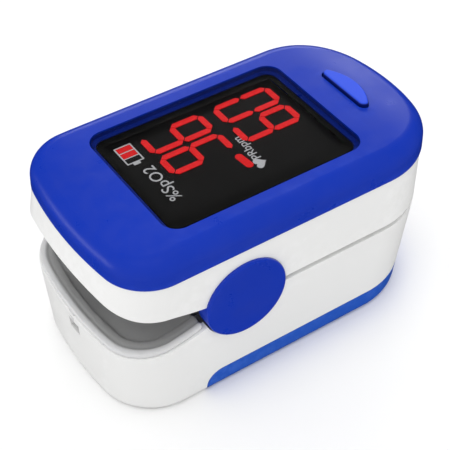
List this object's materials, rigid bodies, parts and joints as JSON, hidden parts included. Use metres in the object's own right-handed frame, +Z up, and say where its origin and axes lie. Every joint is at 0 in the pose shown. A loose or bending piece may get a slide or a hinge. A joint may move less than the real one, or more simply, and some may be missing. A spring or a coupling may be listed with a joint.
{
  "type": "fingertip pulse oximeter",
  "caption": "Clip-on fingertip sensor with a sprung two-part shell, padded finger channel, lit numeric display, power button and slide-off battery cover.",
  "frame": {"origin": "middle of the flat base, under the middle of the top cover", "axes": "+X from the finger mouth towards the hinge end, +Y to the right when the digits are read, +Z up out of the display"},
  "size_m": [0.0586, 0.0336, 0.0321],
  "materials": {
    "cover_blue": "glossy moulded",
    "button_blue": "satin moulded",
    "tray_blue": "glossy moulded",
    "shell_white": "smooth moulded",
    "pad_grey": "matte silicone",
    "window_smoke": "polished, smoked",
    "module_black": "matte",
    "segment_red": "lit",
    "board_green": "solder mask",
    "chip_black": "matte",
    "steel": "bright",
    "contact_metal": "nickel plated",
    "cell_wrap": "printed sleeve",
    "clear_lens": "polished",
    "sensor_dark": "epoxy",
    "flex_amber": "polyimide film"
  },
  "bodies": {
    "lower": {"lower_housing": "shell_white", "battery_left": "cell_wrap", "battery_right": "cell_wrap", "front_contact_plate": "contact_metal", "rear_contact_plates": "contact_metal", "contact_springs": "contact_metal", "sensor_board": "board_green", "photodiode": "sensor_dark", "photodiode_window": "clear_lens", "lower_finger_pad": "pad_grey", "spring_anchor_pins": "steel", "hinge_pin": "steel", "return_spring_left": "steel", "return_spring_right": "steel", "flex_ribbon": "flex_amber"},
    "upper": {"upper_housing": "shell_white", "side_disc_left": "cover_blue", "side_disc_right": "cover_blue", "spring_posts": "steel", "upper_finger_pad": "pad_grey", "emitter_window": "clear_lens", "emitter_led": "clear_lens", "main_circuit_board": "board_green", "led_display_module": "module_black", "display_segments": "segment_red", "microcontroller": "chip_black", "crystal": "steel", "chip_capacitors": "sensor_dark", "switch_body": "chip_black", "top_cover": "cover_blue", "display_window": "window_smoke", "cover_screws": "steel"},
    "battery_cover": {"battery_cover": "tray_blue"},
    "power_button": {"power_button": "button_blue", "switch_plunger": "chip_black"}
  },
  "joints": [
    {"name": "jaw_open", "type": "hinge", "parent": "lower", "child": "upper", "pos_m": [0.0249, 0, 0.0174], "axis": [0, 1, 0], "range_deg": [0, 11], "stiffness_Nm_per_rad": 0.4, "springref_deg": -11.46, "deforming": ["return_spring_left", "return_spring_right", "flex_ribbon"]},
    {"name": "cover_slide", "type": "slide", "parent": "lower", "child": "battery_cover", "axis": [1, 0, 0], "range_m": [0, 0.046]},
    {"name": "button_press", "type": "slide", "parent": "upper", "child": "power_button", "axis": [0, 0, -1], "range_m": [0, 0.00045], "stiffness_N_per_m": 3000}
  ]
}
